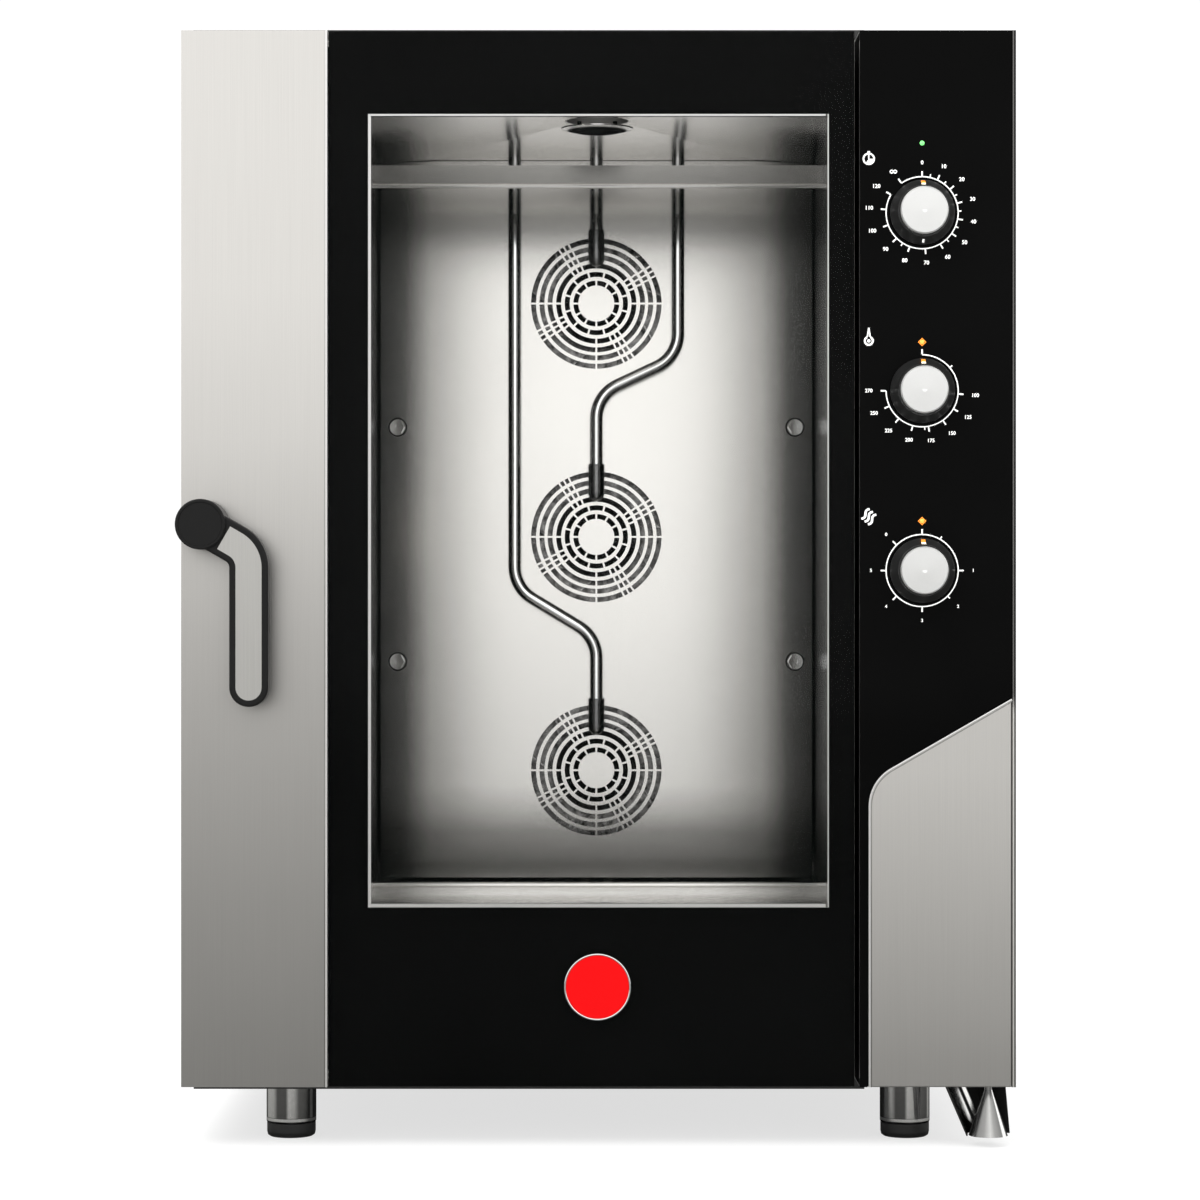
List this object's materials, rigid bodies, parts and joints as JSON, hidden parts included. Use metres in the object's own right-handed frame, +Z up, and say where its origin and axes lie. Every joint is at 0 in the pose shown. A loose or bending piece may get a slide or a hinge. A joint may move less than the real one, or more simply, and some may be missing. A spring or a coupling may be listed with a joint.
{
  "type": "combi steamer oven",
  "caption": "Free-standing electric combi steamer oven: tall case with a side-hinged window door, lever latch, rotary controls, rear steam-fed fans and levelling feet.",
  "frame": {"origin": "middle of the footprint's bounding box at floor level", "axes": "+X to the right seen from the front, +Y towards the back, +Z up; the door faces -Y"},
  "size_m": [0.85, 1.033, 1.17],
  "materials": {
    "case_steel": "brushed stainless sheet, vertical grain",
    "hidden_steel": "plain stainless and galvanised sheet",
    "cavity_steel": "satin stainless, softly reflecting",
    "polished_steel": "polished stainless",
    "nozzle_steel": "dark polished steel",
    "fitting_steel": "turned and plain steel",
    "heater_sheath": "dark heat-tinted tube",
    "fan_steel": "pressed stainless",
    "motor_paint": "black paint on cast motor bodies",
    "wool": "mineral wool slabs",
    "clear_glass": "clear tempered glass",
    "panel_glass": "black back-enamelled glass",
    "black_enamel": "black enamel layer behind the glass",
    "seal_rubber": "black silicone",
    "handle_black": "black moulded thermoset, fine texture",
    "inlay_steel": "brushed stainless inlay",
    "knob_black": "black turned plastic, semi-gloss",
    "knob_silver": "satin silver cap",
    "foot_black": "black nylon",
    "lens": "coloured lamp lenses",
    "badge_red": "red enamel, plain",
    "lamp_ring": "frosted lens in a steel ring",
    "electric": "switch cases, board and relays",
    "valve_plastic": "glass-filled plastic"
  },
  "bodies": {
    "cabinet": {"back_panel": "hidden_steel", "base_tray": "hidden_steel", "cable_gland": "valve_plastic", "case_screws": "fitting_steel", "cavity_lamp": "lamp_ring", "cavity_liner": "cavity_steel", "control_board": "electric", "control_column_body": "hidden_steel", "control_panel_glass": "panel_glass", "control_switches": "electric", "cross_rails": "cavity_steel", "deflector_screws": "polished_steel", "door_gasket": "seal_rubber", "drain_pipe": "fitting_steel", "drip_cone": "fitting_steel", "drip_cowl": "polished_steel", "exhaust_chimney": "fitting_steel", "fan_deflector": "cavity_steel", "fan_motors": "motor_paint", "foot_sleeves": "polished_steel", "front_facade": "case_steel", "heating_elements": "heater_sheath", "hinge_brackets": "hidden_steel", "indicator_lamps": "lens", "insulation": "wool", "latch_keeper": "hidden_steel", "left_side_panel": "case_steel", "lower_control_cover": "case_steel", "pipe_nozzles": "nozzle_steel", "right_side_panel": "case_steel", "steam_manifold": "fitting_steel", "steam_pipe_centre": "polished_steel", "steam_pipe_left": "polished_steel", "steam_pipe_right": "polished_steel", "top_cover": "case_steel", "vent_disc": "polished_steel", "water_inlet_valve": "valve_plastic"},
    "door": {"door_frame": "hidden_steel", "door_side_strip": "case_steel", "outer_glass": "clear_glass", "glass_mask": "black_enamel", "inner_glass": "clear_glass", "badge": "badge_red"},
    "handle": {"handle_grip": "handle_black", "handle_inlay": "inlay_steel", "handle_spindle": "fitting_steel", "latch_hook": "fitting_steel"},
    "timer_knob": {"timer_knob_skirt": "knob_black", "timer_knob_cap": "knob_silver"},
    "temperature_knob": {"temperature_knob_skirt": "knob_black", "temperature_knob_cap": "knob_silver"},
    "steam_knob": {"steam_knob_skirt": "knob_black", "steam_knob_cap": "knob_silver"},
    "upper_fan": {"upper_fan_wheel": "fan_steel"},
    "middle_fan": {"middle_fan_wheel": "fan_steel"},
    "lower_fan": {"lower_fan_wheel": "fan_steel"},
    "foot_front_left": {"foot_front_left_tip": "foot_black"},
    "foot_front_right": {"foot_front_right_tip": "foot_black"},
    "foot_rear_left": {"foot_rear_left_tip": "foot_black"},
    "foot_rear_right": {"foot_rear_right_tip": "foot_black"}
  },
  "joints": [
    {"name": "door_hinge", "type": "hinge", "parent": "cabinet", "child": "door", "pos_m": [0.243, -0.448, 0.6], "axis": [0, 0, 1], "range_deg": [0, 110]},
    {"name": "handle_turn", "type": "hinge", "parent": "door", "child": "handle", "pos_m": [-0.3995, -0.5005, 0.636], "axis": [0, -1, 0], "range_deg": [0, 90]},
    {"name": "timer_knob_turn", "type": "hinge", "parent": "cabinet", "child": "timer_knob", "pos_m": [0.3295, -0.4705, 0.9543], "axis": [0, 1, 0], "range_deg": [0, 325]},
    {"name": "temperature_knob_turn", "type": "hinge", "parent": "cabinet", "child": "temperature_knob", "pos_m": [0.3295, -0.4705, 0.773], "axis": [0, 1, 0], "range_deg": [0, 270]},
    {"name": "steam_knob_turn", "type": "hinge", "parent": "cabinet", "child": "steam_knob", "pos_m": [0.3295, -0.4705, 0.59], "axis": [0, 1, 0], "range_deg": [0, 315]},
    {"name": "upper_fan_spin", "type": "hinge", "parent": "cabinet", "child": "upper_fan", "pos_m": [0, 0.2115, 0.917], "axis": [0, 1, 0], "continuous": true},
    {"name": "middle_fan_spin", "type": "hinge", "parent": "cabinet", "child": "middle_fan", "pos_m": [0, 0.2115, 0.636], "axis": [0, 1, 0], "continuous": true},
    {"name": "lower_fan_spin", "type": "hinge", "parent": "cabinet", "child": "lower_fan", "pos_m": [0, 0.2115, 0.355], "axis": [0, 1, 0], "continuous": true},
    {"name": "foot_front_left_screw", "type": "slide", "parent": "cabinet", "child": "foot_front_left", "axis": [0, 0, 1], "range_m": [-0.025, 0]},
    {"name": "foot_front_right_screw", "type": "slide", "parent": "cabinet", "child": "foot_front_right", "axis": [0, 0, 1], "range_m": [-0.025, 0]},
    {"name": "foot_rear_left_screw", "type": "slide", "parent": "cabinet", "child": "foot_rear_left", "axis": [0, 0, 1], "range_m": [-0.025, 0]},
    {"name": "foot_rear_right_screw", "type": "slide", "parent": "cabinet", "child": "foot_rear_right", "axis": [0, 0, 1], "range_m": [-0.025, 0]}
  ]
}
